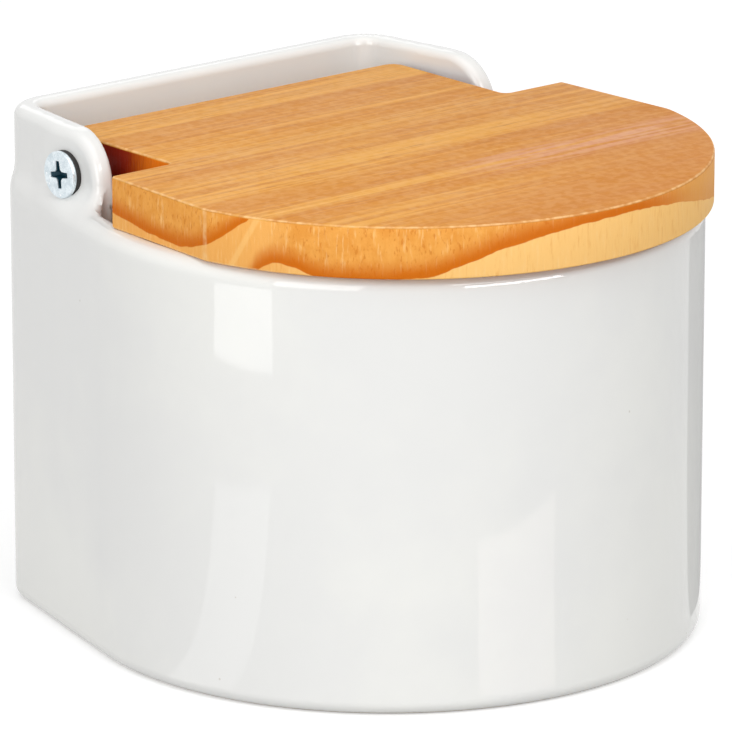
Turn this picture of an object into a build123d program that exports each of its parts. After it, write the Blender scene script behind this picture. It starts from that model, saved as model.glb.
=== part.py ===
"""Salt box: glazed ceramic box with two raised ears, and a pine lid that turns on two screws.

Units are millimetres. The origin is on the base, on the upright axis of the round front.
+X is the box's left-to-right direction seen from the front, the front faces -Y, +Z is up.
"""

from build123d import *

import os
from math import cos, radians, sin, tan

# Ceramic box -----------------------------------------------------------------
box_width = 120.0  # across the round front
box_depth = 120.4  # flat back to the front of the round
rim_height = 84.0  # rim that the lid lies on
ear_rise = 13.6  # back wall and ears above the rim
ear_depth = 35.35  # back face to the front edge of an ear
ear_ledge = 3.75  # ledge outside an ear at the hinge line, along X
ear_flare = 8.0  # degrees that each ear opens towards the front
ear_corner_radius = 9.0  # rear corner of the ears and the back wall
ear_nose_radius = 10.0  # rounded front of an ear
ear_root = 6.0  # shelf inside the rim that carries an ear
wall = 5.0
floor_thickness = 6.0
side_flare = 14.0  # degrees that each side opens towards the front
rear_corner_radius = 11.0
lip_radius = 2.0  # rounded top of the ears and the back wall
rim_radius = 3.0
rim_inner_radius = 1.2
base_radius = 2.5
floor_corner_radius = 4.0
shelf_corner_radius = 3.0  # shelf's front face to the wall

# Pine lid ---------------------------------------------------------------------
lid_thickness = 10.0
lid_front_reach = 3.0  # lid's front past the box's front
lid_rear_inset = 4.1  # lid's rear corners, in from half the box's width
lid_crease_inset = 2.6  # end of the straight sides, in from half the box's width
lid_side_length = 29.25  # straight side, along Y
ear_gap = 11.65  # front edge of an ear to the wide part of the lid
tongue_play = 1.5  # between an ear's inner face and the tongue, at the tongue's rear
tongue_rear_gap = 9.0  # back wall's inner face to the tongue
tongue_corner_radius = 3.0
notch_corner_radius = 1.5
eased_edge = 0.5

# Hinge ------------------------------------------------------------------------
hinge_margin = 11.2  # hinge line to the rear edge of the tongue
hinge_pad_radius = 5.4  # flat spot that the washer turns on
screw_head_diameter = 9.0
screw_shank_diameter = 4.5
screw_root_diameter = 3.1
screw_length = 30.0
screw_rim = 0.9  # straight edge of the head
screw_edge_radius = 0.2
screw_pitch = 1.8
screw_crest = 0.2  # flat on top of a thread ridge
screw_tip = 4.0
cone_angle = 90.0  # full angle under the head
shank_clearance = 0.08  # radial, shank in the ear
cone_clearance = 0.1  # cone in the ear's countersink, radial
thread_clearance = 0.02  # radial, screw in the wood it has cut
washer_thickness = 1.05
washer_face_gap = 0.05  # washer to the ear
washer_seat = 0.02  # washer to the screw's cone
recess_span = 5.4
recess_width = 1.2
recess_depth = 1.7
recess_taper = 12.0
recess_turn = 8.0  # degrees that the cross is turned

# Places worked out from the sizes above ----------------------------------------
flare_sin = sin(radians(side_flare))
flare_cos = cos(radians(side_flare))
front_radius = box_width / 2
back_y = box_depth - front_radius
ear_corner_y = back_y - ear_corner_radius
ear_front_y = back_y - ear_depth
ear_bottom = rim_height - ear_root
ear_height = rim_height + ear_rise

lid_bottom = rim_height
tongue_rear_y = back_y - wall - tongue_rear_gap
pivot_y = tongue_rear_y - hinge_margin
pivot_z = lid_bottom + lid_thickness / 2
hinge_face_x = (front_radius - pivot_y * flare_sin) / flare_cos - ear_ledge


def ear_x(y, inset):
    """Half width between the ears' outer faces at y, moved in by inset."""
    ear_angle = radians(ear_flare)
    return hinge_face_x + (pivot_y - y) * tan(ear_angle) - inset / cos(ear_angle)


tongue_half = ear_x(tongue_rear_y, wall) - tongue_play
lid_rear_half = front_radius - lid_rear_inset
lid_crease_half = front_radius - lid_crease_inset
lid_shoulder_y = ear_front_y - ear_gap
lid_crease_y = lid_shoulder_y - lid_side_length
lid_front_y = -(front_radius + lid_front_reach)

head_radius = screw_head_diameter / 2
shank_radius = screw_shank_diameter / 2
root_radius = screw_root_diameter / 2
cone_slope = tan(radians(cone_angle / 2))
head_under = washer_face_gap + washer_thickness
head_face = head_under + screw_rim
cone_end = head_under - (head_radius - shank_radius) / cone_slope
thread_start = tongue_half - hinge_face_x - screw_pitch
thread_end = head_face - screw_length + screw_tip
thread_turns = int((thread_start - thread_end) / screw_pitch)


def horseshoe(inset):
    """The box's plan, moved in by inset: round front, flaring sides, flat back."""
    radius = front_radius - inset
    tangent_x = radius * flare_cos
    tangent_y = radius * flare_sin
    rear_y = back_y - inset
    rear_x = (radius - rear_y * flare_sin) / flare_cos
    with BuildSketch() as plan:
        with BuildLine():
            ThreePointArc((tangent_x, tangent_y), (0, -radius), (-tangent_x, tangent_y))
            Polyline((-tangent_x, tangent_y), (-rear_x, rear_y), (rear_x, rear_y), (tangent_x, tangent_y))
        make_face()
        fillet(plan.vertices().sort_by(Axis.Y)[-2:], rear_corner_radius - inset)
    return plan.sketch


def ear_outline(inset):
    """Plan of the ears and the back wall, moved in by inset: flaring sides, flat back."""
    rear_y = back_y - inset
    front_half = ear_x(ear_front_y, inset)
    rear_half = ear_x(rear_y, inset)
    with BuildSketch() as plan:
        with BuildLine():
            Polyline(
                (front_half, ear_front_y),
                (rear_half, rear_y),
                (-rear_half, rear_y),
                (-front_half, ear_front_y),
                close=True,
            )
        make_face()
        fillet(plan.vertices().sort_by(Axis.Y)[-2:], ear_corner_radius - inset)
    return plan.sketch


def ear_plane(side, outward=0.0):
    """Plane outward from the hinge pad on an ear, centred on the hinge and facing out."""
    centre = (side * (hinge_face_x + outward), pivot_y, pivot_z)
    return Plane(origin=centre, x_dir=(0, 1, 0), z_dir=(side, 0, 0))


def hinge_section(side):
    """Plane through the hinge line; a point is (radius, distance out from the hinge pad)."""
    return Plane(origin=(side * hinge_face_x, pivot_y, pivot_z), x_dir=(0, 1, 0), z_dir=(0, 0, -side))


def hinge_axis(side):
    """The hinge line, pointing out of one ear."""
    return Axis((side * hinge_face_x, pivot_y, pivot_z), (side, 0, 0))


def screw_profile(extra):
    """Half section of the part of a screw that is inside the ear and the wood."""
    points = [(0, cone_end), (shank_radius + extra, cone_end), (shank_radius + extra, thread_start)]
    crest = screw_crest / 2
    for turn in range(thread_turns):
        ridge = thread_start - (turn + 0.5) * screw_pitch
        points.append((root_radius + extra, ridge + screw_pitch / 2 - crest))
        points.append((shank_radius + extra, ridge + crest))
        points.append((shank_radius + extra, ridge - crest))
        points.append((root_radius + extra, ridge - screw_pitch / 2 + crest))
    points.append((root_radius + extra, thread_end))
    points.append((0, head_face - screw_length - extra))
    return points


# Ears and back wall, one U-shaped upstand --------------------------------------
ears_outside = ear_outline(0)
ears_inside = ear_outline(wall)

with BuildPart() as upstand:
    with BuildSketch(Plane.XY.offset(ear_bottom)):
        add(ears_outside)
        add(ears_inside, mode=Mode.SUBTRACT)
    extrude(amount=ear_height - ear_bottom)

    front_tops = upstand.edges().filter_by(Axis.X).group_by(Axis.Z)[-1].group_by(Axis.Y)[0]
    fillet(front_tops, ear_nose_radius)

    raised = upstand.edges().filter_by(lambda e: e.center().Z > ear_bottom + lip_radius)
    seams = raised.filter_by(Axis.X).filter_by(lambda e: e.center().Y < ear_corner_y)
    rear_uprights = raised.filter_by(Axis.Z).filter_by(lambda e: e.center().Y > ear_front_y + wall)
    fillet(raised - seams - rear_uprights, lip_radius)

# Box ----------------------------------------------------------------------------
outer_plan = horseshoe(0)
inner_plan = horseshoe(wall)

with BuildPart() as ceramic_body:
    with BuildSketch():
        add(outer_plan)
    extrude(amount=rim_height)
    fillet(ceramic_body.edges().group_by(Axis.Z)[-1], rim_radius)
    fillet(ceramic_body.edges().group_by(Axis.Z)[0], base_radius)

    with BuildSketch(Plane.XY.offset(floor_thickness)):
        add(inner_plan)
    extrude(amount=ear_bottom - floor_thickness, mode=Mode.SUBTRACT)
    floor_face = ceramic_body.faces().filter_by(Plane.XY).sort_by_distance((0, 0, floor_thickness))[0]
    fillet(floor_face.outer_wire().edges(), floor_corner_radius)

    with BuildSketch(Plane.XY.offset(ear_bottom)) as mouth:
        add(inner_plan)
        with Locations((0, back_y - ear_depth / 2)):
            Rectangle(box_width, ear_depth, mode=Mode.SUBTRACT)
        add(ears_inside)
        shelf_vertices = mouth.vertices().filter_by(lambda v: abs(v.Y - ear_front_y) < rim_inner_radius)
        shelf_inner = shelf_vertices.filter_by(lambda v: abs(v.X) < ear_x(ear_front_y, wall / 2))
        shelf_outer = shelf_vertices - shelf_inner
        fillet(shelf_inner, lip_radius)
        fillet(shelf_outer, shelf_corner_radius)
    extrude(amount=rim_height, mode=Mode.SUBTRACT)
    rim_face = ceramic_body.faces().filter_by(Plane.XY).sort_by(Axis.Z)[-1]
    fillet(rim_face.inner_wires()[0].edges(), rim_inner_radius)

    add(upstand.part)

    for side in (-1, 1):
        with Locations(ear_plane(side)):
            Cylinder(hinge_pad_radius, wall / 2, align=(Align.CENTER, Align.CENTER, Align.MAX))
            Cylinder(hinge_pad_radius, wall, align=(Align.CENTER, Align.CENTER, Align.MIN), mode=Mode.SUBTRACT)
            CounterSinkHole(
                radius=shank_radius + shank_clearance,
                counter_sink_radius=head_radius - head_under * cone_slope + cone_clearance,
                depth=2 * wall,
                counter_sink_angle=cone_angle,
            )
ceramic_body.part.label = "ceramic_body"

# Lid ------------------------------------------------------------------------------
with BuildPart() as lid:
    with BuildSketch(Plane.XY.offset(lid_bottom)) as lid_plan:
        with BuildLine():
            Polyline(
                (lid_crease_half, lid_crease_y),
                (lid_rear_half, lid_shoulder_y),
                (tongue_half, lid_shoulder_y),
                (tongue_half, tongue_rear_y),
                (-tongue_half, tongue_rear_y),
                (-tongue_half, lid_shoulder_y),
                (-lid_rear_half, lid_shoulder_y),
                (-lid_crease_half, lid_crease_y),
            )
            crease_left = (-lid_crease_half, lid_crease_y)
            crease_right = (lid_crease_half, lid_crease_y)
            ThreePointArc(crease_left, (0, lid_front_y), crease_right)
        make_face()
        fillet(lid_plan.vertices().group_by(Axis.Y)[-1], tongue_corner_radius)
        notches = lid_plan.vertices().filter_by(lambda v: abs(v.Y - lid_shoulder_y) < eased_edge)
        fillet(notches.filter_by(lambda v: abs(v.X) < tongue_half + eased_edge), notch_corner_radius)
    extrude(amount=lid_thickness)
    fillet(lid.faces().sort_by(Axis.Z)[-1].edges(), eased_edge)
    fillet(lid.faces().sort_by(Axis.Z)[0].edges(), eased_edge)

    for side in (-1, 1):
        with BuildSketch(hinge_section(side)) as wood_thread:
            Polygon(*screw_profile(thread_clearance), align=None)
        revolve(axis=hinge_axis(side), mode=Mode.SUBTRACT)
lid.part.label = "lid"


def build_screw(side):
    """Countersunk wood screw with a cross recess, in place in one ear."""
    with BuildPart() as screw:
        with BuildSketch(hinge_section(side)) as head_half:
            Polygon(
                (0, head_face),
                (head_radius, head_face),
                (head_radius, head_under),
                (shank_radius, cone_end),
                (0, cone_end),
                align=None,
            )
            fillet(head_half.vertices().sort_by_distance((head_radius, head_face))[0], screw_edge_radius)
        revolve(axis=hinge_axis(side))
        with BuildSketch(hinge_section(side)) as shank_half:
            Polygon(*screw_profile(0), align=None)
        revolve(axis=hinge_axis(side))
        with BuildSketch(ear_plane(side, head_face)) as cross:
            Rectangle(recess_span, recess_width, rotation=recess_turn)
            Rectangle(recess_width, recess_span, rotation=recess_turn)
        extrude(amount=-recess_depth, taper=recess_taper, mode=Mode.SUBTRACT)
    return screw.part


def build_washer(side):
    """Soft ring under a screw head, pressed to the shape of the screw's cone."""
    outer = head_radius
    base_inner = head_radius - washer_thickness * cone_slope + washer_seat
    with BuildPart() as washer:
        with BuildSketch(hinge_section(side)):
            Polygon(
                (base_inner, washer_face_gap),
                (outer, washer_face_gap),
                (outer, head_under - washer_seat),
                (outer - washer_seat, head_under - washer_seat * 2),
                align=None,
            )
        revolve(axis=hinge_axis(side))
    return washer.part


hinge_screw_left = build_screw(-1)
hinge_screw_left.label = "hinge_screw_left"
hinge_screw_right = build_screw(1)
hinge_screw_right.label = "hinge_screw_right"
washer_left = build_washer(-1)
washer_left.label = "washer_left"
washer_right = build_washer(1)
washer_right.label = "washer_right"

# Files ------------------------------------------------------------------------------
os.makedirs("parts", exist_ok=True)
export_step(ceramic_body.part, "parts/ceramic_body.step")
export_step(lid.part, "parts/lid.step")
export_step(hinge_screw_left, "parts/hinge_screw_left.step")
export_step(hinge_screw_right, "parts/hinge_screw_right.step")
export_step(washer_left, "parts/washer_left.step")
export_step(washer_right, "parts/washer_right.step")
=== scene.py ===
"""Salt box with a hinged pine lid: glazed box, pine lid, two screws, two rubber washers.

Sizes in the classes are millimetres; meshes are written in metres. +Z is up, the round front
faces -Y, and the origin is on the base, on the upright axis of the round front.
"""

import logging
import math
from dataclasses import dataclass
from enum import Enum
from functools import cached_property

import bmesh
import bpy
import numpy as np
from mathutils import Matrix, Vector


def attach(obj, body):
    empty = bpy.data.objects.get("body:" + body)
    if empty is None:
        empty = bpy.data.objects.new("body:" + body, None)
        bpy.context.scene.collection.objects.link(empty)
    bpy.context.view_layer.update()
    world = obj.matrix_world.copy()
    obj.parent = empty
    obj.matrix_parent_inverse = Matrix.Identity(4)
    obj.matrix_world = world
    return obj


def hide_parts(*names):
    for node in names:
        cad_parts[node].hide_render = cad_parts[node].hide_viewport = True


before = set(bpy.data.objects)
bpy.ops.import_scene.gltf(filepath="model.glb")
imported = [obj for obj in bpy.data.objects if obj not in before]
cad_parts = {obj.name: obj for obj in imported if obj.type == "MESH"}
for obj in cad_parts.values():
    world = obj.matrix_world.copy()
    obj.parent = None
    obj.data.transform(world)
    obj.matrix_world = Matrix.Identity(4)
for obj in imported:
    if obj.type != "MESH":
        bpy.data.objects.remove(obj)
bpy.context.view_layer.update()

logging.basicConfig(level=logging.INFO, format="%(name)s: %(message)s")
log = logging.getLogger("salt_box")

MM = 0.001
QUARTER_TURN = math.pi / 2
WHITE = (1.0, 1.0, 1.0)
Triple = tuple[float, float, float]
Colour = Triple
Point = tuple[float, float]
BMesh = bmesh.types.BMesh
Object = bpy.types.Object
Socket = bpy.types.NodeSocket


class Body(str, Enum):
    """The rigid bodies that pieces ride on."""

    BOX = "body"
    LID = "lid"


class Side(Enum):
    """Left and right as seen from the round front; the value is the sign of X."""

    LEFT = -1
    RIGHT = 1

    @property
    def word(self) -> str:
        """The side's name as it stands in a piece's name."""
        return self.name.lower()


class Slot(str, Enum):
    """Finishes named in the part's record."""

    CERAMIC = "glazed_ceramic"
    PINE = "pine"
    ZINC = "zinc_steel"
    RUBBER = "black_rubber"


class Combine(str, Enum):
    """What a boolean does with the other shapes."""

    CUT = "DIFFERENCE"
    JOIN = "UNION"


@dataclass(frozen=True)
class HingeLine:
    """The line that the lid turns on, and where the ears' outer faces cross it."""

    ear_face: float = 49.31
    y: float = 35.2
    z: float = 89.0

    def centre(self, side: Side, out: float = 0.0) -> Vector:
        """Return the point on the line in an ear's outer face, or further out."""
        return Vector((side.value * (self.ear_face + out), self.y, self.z))

    def axis(self, side: Side) -> Vector:
        """Return the direction out of an ear."""
        return Vector((side.value, 0.0, 0.0))


HINGE = HingeLine()


# ---------------------------------------------------------------------------------------------
# Small helpers


def smoothstep(value: float) -> float:
    """Ease a value from 0 to 1, held flat outside that range."""
    held = min(1.0, max(0.0, value))
    return held * held * (3.0 - 2.0 * held)


def srgb(red: int, green: int, blue: int) -> Colour:
    """Turn a screen colour of 0 to 255 into the linear values that shaders use."""
    linear = []
    for channel in (red, green, blue):
        share = channel / 255.0
        linear.append(share / 12.92 if share <= 0.04045 else ((share + 0.055) / 1.055) ** 2.4)
    return (linear[0], linear[1], linear[2])


def shade_smooth(mesh: bpy.types.Mesh, sharp_angle: float) -> None:
    """Shade a mesh smooth, but for edges that turn by more than an angle in degrees."""
    mesh.polygons.foreach_set("use_smooth", [True] * len(mesh.polygons))
    mesh.set_sharp_from_angle(angle=math.radians(sharp_angle))


def finish_mesh(bm: BMesh, name: str, sharp_angle: float = 35.0) -> Object:
    """Turn a bmesh in millimetres into a smooth-shaded object in metres.

    Args:
        bm: the finished shape; it is freed here.
        name: the new object's name.
        sharp_angle: edges that turn by more than this, in degrees, are shaded sharp.

    Returns:
        The object, linked to the scene, with its place in its mesh.
    """
    bmesh.ops.recalc_face_normals(bm, faces=bm.faces)
    bmesh.ops.scale(bm, vec=(MM, MM, MM), verts=bm.verts)
    mesh = bpy.data.meshes.new(name)
    bm.to_mesh(mesh)
    bm.free()
    shade_smooth(mesh, sharp_angle)
    obj = bpy.data.objects.new(name, mesh)
    bpy.context.scene.collection.objects.link(obj)
    return obj


def evaluated_mesh(obj: Object) -> bpy.types.Mesh:
    """Return a new mesh with an object's modifiers applied."""
    bpy.context.view_layer.update()
    return bpy.data.meshes.new_from_object(obj.evaluated_get(bpy.context.evaluated_depsgraph_get()))


def boolean(obj: Object, others: list[Object], how: Combine, sharp_angle: float) -> None:
    """Combine an object with other closed shapes, which are used up.

    Args:
        obj: the piece; its mesh is replaced by the result.
        others: closed shapes.
        how: cut them away or join them on.
        sharp_angle: edges that turn by more than this, in degrees, are shaded sharp.
    """
    for number, other in enumerate(others):
        modifier = obj.modifiers.new(f"step_{number}", "BOOLEAN")
        modifier.operation = how.value
        modifier.solver = "EXACT"
        modifier.object = other
    mesh = evaluated_mesh(obj)
    mesh.name = obj.name
    obj.modifiers.clear()
    obj.data = mesh
    shade_smooth(mesh, sharp_angle)
    for other in others:
        bpy.data.objects.remove(other)


def lathe(profile: list[Point], centre: Vector, axis: Vector, segments: int) -> BMesh:
    """Spin a half section round an axis.

    Args:
        profile: points of (radius, distance along the axis); a radius of 0 closes the end.
        centre: the point on the axis where the distance is 0.
        axis: unit direction of the distance.
        segments: how many steps make the full turn.

    Returns:
        The closed shape.
    """
    across = axis.orthogonal().normalized()
    bm = bmesh.new()
    verts = [bm.verts.new(centre + across * r + axis * h) for r, h in profile]
    edges = [bm.edges.new(pair) for pair in zip(verts, verts[1:])]
    bmesh.ops.spin(
        bm,
        geom=verts + edges,
        cent=centre,
        axis=axis,
        angle=math.tau,
        steps=segments,
        use_merge=True,
    )
    bmesh.ops.remove_doubles(bm, verts=bm.verts, dist=1e-4)
    return bm


def read_rows(items: object, name: str, width: int = 3, kind: type = np.float32) -> np.ndarray:
    """Read a property of each mesh element, as rows of that width."""
    values = np.empty(len(items) * width, kind)
    items.foreach_get(name, values)
    return values.reshape(-1, width)


# ---------------------------------------------------------------------------------------------
# Shader helpers


@dataclass(frozen=True)
class Figure:
    """A noise in millimetres: how fast it changes along each axis, its place and its detail."""

    stretch: Triple
    shift: Triple = (0.0, 0.0, 0.0)
    detail: float = 3.0
    rough: float = 0.5


class NodeSheet:
    """A node tree with short calls for the nodes that the finishes use."""

    def __init__(self, tree: bpy.types.NodeTree) -> None:
        """Keep the tree that nodes are added to."""
        self.tree = tree

    def node(self, kind: str, **settings: object) -> bpy.types.Node:
        """Add a node and set its properties."""
        made = self.tree.nodes.new(kind)
        for name, value in settings.items():
            setattr(made, name, value)
        return made

    def plug(self, source: object, socket: Socket) -> None:
        """Link a socket, or set a plain value, on an input socket."""
        if isinstance(source, Socket):
            self.tree.links.new(source, socket)
        elif isinstance(source, tuple) and len(source) == 3 and socket.type == "RGBA":
            socket.default_value = (*source, 1.0)
        else:
            socket.default_value = source

    def math(self, operation: str, first: object, second: object = 0.0) -> Socket:
        """Add a Math node and return its value."""
        made = self.node("ShaderNodeMath", operation=operation)
        self.plug(first, made.inputs[0])
        self.plug(second, made.inputs[1])
        return made.outputs[0]

    def times(self, first: object, *others: object) -> Socket:
        """Multiply values, in order."""
        for other in others:
            first = self.math("MULTIPLY", first, other)
        return first

    def plus(self, first: object, second: object) -> Socket:
        """Add two values."""
        return self.math("ADD", first, second)

    def minus(self, first: object, second: object) -> Socket:
        """Take the second value from the first."""
        return self.math("SUBTRACT", first, second)

    def size(self, value: object) -> Socket:
        """Return a value without its sign."""
        return self.math("ABSOLUTE", value)

    def most(self, first: object, second: object) -> Socket:
        """Return the larger of two values."""
        return self.math("MAXIMUM", first, second)

    def ramp(
        self, value: object, low: float, high: float, to_low: float = 0.0, to_high: float = 1.0
    ) -> Socket:
        """Map a value smoothly from one range to another, held at both ends."""
        made = self.node("ShaderNodeMapRange", interpolation_type="SMOOTHSTEP")
        for socket, source in zip(made.inputs[:5], (value, low, high, to_low, to_high)):
            self.plug(source, socket)
        return made.outputs[0]

    def mix(self, share: object, first: object, second: object) -> Socket:
        """Mix two colours."""
        made = self.node("ShaderNodeMix", data_type="RGBA")
        for number, source in ((0, share), (6, first), (7, second)):
            self.plug(source, made.inputs[number])
        return made.outputs[2]

    def lay(self, under: object, *layers: tuple[object, float, float, float, Colour]) -> Socket:
        """Lay colours over another, each growing as a value goes from low to high.

        Args:
            under: the colour below them all.
            layers: (value, low, high, strength at high, colour) of each, in order.

        Returns:
            The colour of all of them together.
        """
        for value, low, high, strength, colour in layers:
            under = self.mix(self.ramp(value, low, high, 0.0, strength), under, colour)
        return under

    def place(self, vector: object, scale: Triple, shift: Triple = (0.0, 0.0, 0.0)) -> Socket:
        """Scale and shift a vector with a Mapping node."""
        made = self.node("ShaderNodeMapping")
        self.plug(vector, made.inputs["Vector"])
        made.inputs["Scale"].default_value = scale
        made.inputs["Location"].default_value = shift
        return made.outputs[0]

    def split(self, vector: object) -> list[Socket]:
        """Return a vector's X, Y and Z."""
        made = self.node("ShaderNodeSeparateXYZ")
        self.plug(vector, made.inputs[0])
        return list(made.outputs)

    def noise(self, vector: object, scale: object, detail: float = 3.0, rough: float = 0.5) -> Socket:
        """Add a noise texture and return its value of about 0.3 to 0.7."""
        made = self.node("ShaderNodeTexNoise")
        for name, source in (("Vector", vector), ("Scale", scale), ("Detail", detail), ("Roughness", rough)):
            self.plug(source, made.inputs[name])
        return made.outputs[0]

    def bump(self, height: object, distance: float, strength: float, normal: object = None) -> Socket:
        """Turn a height of 0 to 1 into a normal; distance is in metres."""
        made = self.node("ShaderNodeBump")
        self.plug(strength, made.inputs["Strength"])
        self.plug(distance, made.inputs["Distance"])
        self.plug(height, made.inputs["Height"])
        if normal is not None:
            self.plug(normal, made.inputs["Normal"])
        return made.outputs[0]


class GroupSheet(NodeSheet):
    """A shader node group, made once, with named inputs and outputs."""

    def __init__(self, name: str, takes: dict[str, float], gives: str) -> None:
        """Make the group and its sockets.

        Args:
            name: the group's name.
            takes: float inputs and their usual values; a Vector input comes first.
            gives: the name of its one output, a float.
        """
        tree = bpy.data.node_groups.new(name, "ShaderNodeTree")
        super().__init__(tree)
        tree.interface.new_socket("Vector", in_out="INPUT", socket_type="NodeSocketVector")
        for socket_name, usual in takes.items():
            made = tree.interface.new_socket(socket_name, in_out="INPUT", socket_type="NodeSocketFloat")
            made.default_value = usual
        tree.interface.new_socket(gives, in_out="OUTPUT", socket_type="NodeSocketFloat")
        self.taken = self.node("NodeGroupInput").outputs
        self.exit = self.node("NodeGroupOutput")

    def give(self, source: object) -> bpy.types.NodeTree:
        """Send a value to the group's output and return the finished group."""
        self.plug(source, self.exit.inputs[0])
        return self.tree


class SharedEffects:
    """The node groups that more than one finish places."""

    def __init__(self) -> None:
        """Build each group once."""
        self.specks_and_glints = self._specks_and_glints()
        self.mottle = self._mottle()

    @staticmethod
    def _specks_and_glints() -> bpy.types.NodeTree:
        """Small scattered spots: pinholes in glaze, painted glints in zinc, dust on rubber."""
        sheet = GroupSheet("specks_and_painted_glints", {"Per metre": 900.0, "Spot size": 0.12, "Share": 0.3}, "Mask")
        cells = sheet.node("ShaderNodeTexVoronoi", feature="F1")
        sheet.plug(sheet.taken["Vector"], cells.inputs["Vector"])
        sheet.plug(sheet.taken["Per metre"], cells.inputs["Scale"])
        inside = sheet.math("LESS_THAN", cells.outputs["Distance"], sheet.taken["Spot size"])
        pick = sheet.node("ShaderNodeSeparateColor")
        sheet.plug(cells.outputs["Color"], pick.inputs[0])
        chosen = sheet.math("LESS_THAN", pick.outputs[0], sheet.taken["Share"])
        return sheet.give(sheet.times(inside, chosen))

    @staticmethod
    def _mottle() -> bpy.types.NodeTree:
        """Slow drift of tone with a finer layer over it, as one value round 0.5."""
        sheet = GroupSheet("slow_mottle", {"Per metre": 18.0, "Fine share": 0.25}, "Value")
        vector, per_metre, fine_share = (sheet.taken[name] for name in ("Vector", "Per metre", "Fine share"))
        slow = sheet.noise(vector, per_metre, 2.0)
        fine = sheet.noise(vector, sheet.times(per_metre, 7.0), 2.0)
        slow = sheet.times(slow, sheet.minus(1.0, fine_share))
        return sheet.give(sheet.plus(slow, sheet.times(fine, fine_share)))


class FinishSheet(NodeSheet):
    """A material under construction, with its Principled shader and Object coordinates."""

    def __init__(self, name: str) -> None:
        """Make the material with its shader."""
        self.material = bpy.data.materials.new(name)
        self.material.use_nodes = True
        super().__init__(self.material.node_tree)
        self.shader = self.tree.nodes["Principled BSDF"]

    @cached_property
    def object_coords(self) -> Socket:
        """The material's Object coordinates."""
        return self.node("ShaderNodeTexCoord").outputs["Object"]

    def in_mm(self, origin: Triple = (0.0, 0.0, 0.0)) -> Socket:
        """Return Object coordinates in millimetres, counted from an origin."""
        shift = tuple(-along for along in origin)
        return self.place(self.object_coords, (1 / MM,) * 3, shift)

    def figure(self, mm: Socket, figure: Figure) -> Socket:
        """Add a noise on coordinates in millimetres and return its value."""
        return self.noise(self.place(mm, figure.stretch, figure.shift), 1.0, figure.detail, figure.rough)

    def effect(self, tree: bpy.types.NodeTree, **values: float) -> Socket:
        """Place a shared group with its own values and return what it gives."""
        made = self.node("ShaderNodeGroup", node_tree=tree)
        self.plug(self.object_coords, made.inputs["Vector"])
        for name, value in values.items():
            made.inputs[name.replace("_", " ")].default_value = value
        return made.outputs[0]

    def set(self, **values: object) -> bpy.types.Material:
        """Set or link the shader's own sockets, an underscore for a space; return the material."""
        for name, value in values.items():
            self.plug(value, self.shader.inputs[name.replace("_", " ")])
        return self.material


# ---------------------------------------------------------------------------------------------
# Finishes


@dataclass(frozen=True)
class WhiteGlaze:
    """Thick, glossy white glaze over stoneware, bare on the foot."""

    light: Colour = srgb(238, 238, 234)
    shade: Colour = srgb(232, 232, 230)
    bare_clay: Colour = srgb(205, 196, 180)
    dark_clay: Colour = srgb(190, 180, 165)
    pinhole: Colour = srgb(196, 190, 178)
    roughness: float = 0.045
    clay_roughness: float = 0.85
    bare_height: float = 0.6 * MM
    grit_per_metre: float = 1400.0
    ripples_per_metre: float = 26.0

    def make(self, effects: SharedEffects) -> bpy.types.Material:
        """Return the finished material."""
        sheet = FinishSheet("white_glaze")
        coords = sheet.object_coords
        drift = sheet.effect(effects.mottle, Per_metre=14.0, Fine_share=0.2)
        colour = sheet.lay(self.shade, (drift, 0.38, 0.62, 1.0, self.light))
        pinholes = sheet.effect(effects.specks_and_glints, Per_metre=140.0, Spot_size=0.035, Share=0.25)
        colour = sheet.mix(sheet.times(pinholes, 0.5), colour, self.pinhole)
        bare = sheet.ramp(sheet.split(coords)[2], self.bare_height, self.bare_height * 0.6)
        grit = sheet.noise(coords, self.grit_per_metre, 2.0)
        clay = sheet.lay(self.bare_clay, (grit, 0.35, 0.65, 1.0, self.dark_clay))
        ripple = sheet.bump(sheet.noise(coords, self.ripples_per_metre, 1.0), 0.5 * MM, 0.35)
        return sheet.set(
            Base_Color=sheet.mix(bare, colour, clay),
            Roughness=sheet.ramp(bare, 0.0, 1.0, self.roughness, self.clay_roughness),
            Normal=sheet.bump(sheet.times(grit, bare), 0.2 * MM, 0.6, ripple),
            IOR=1.5,
        )


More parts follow.
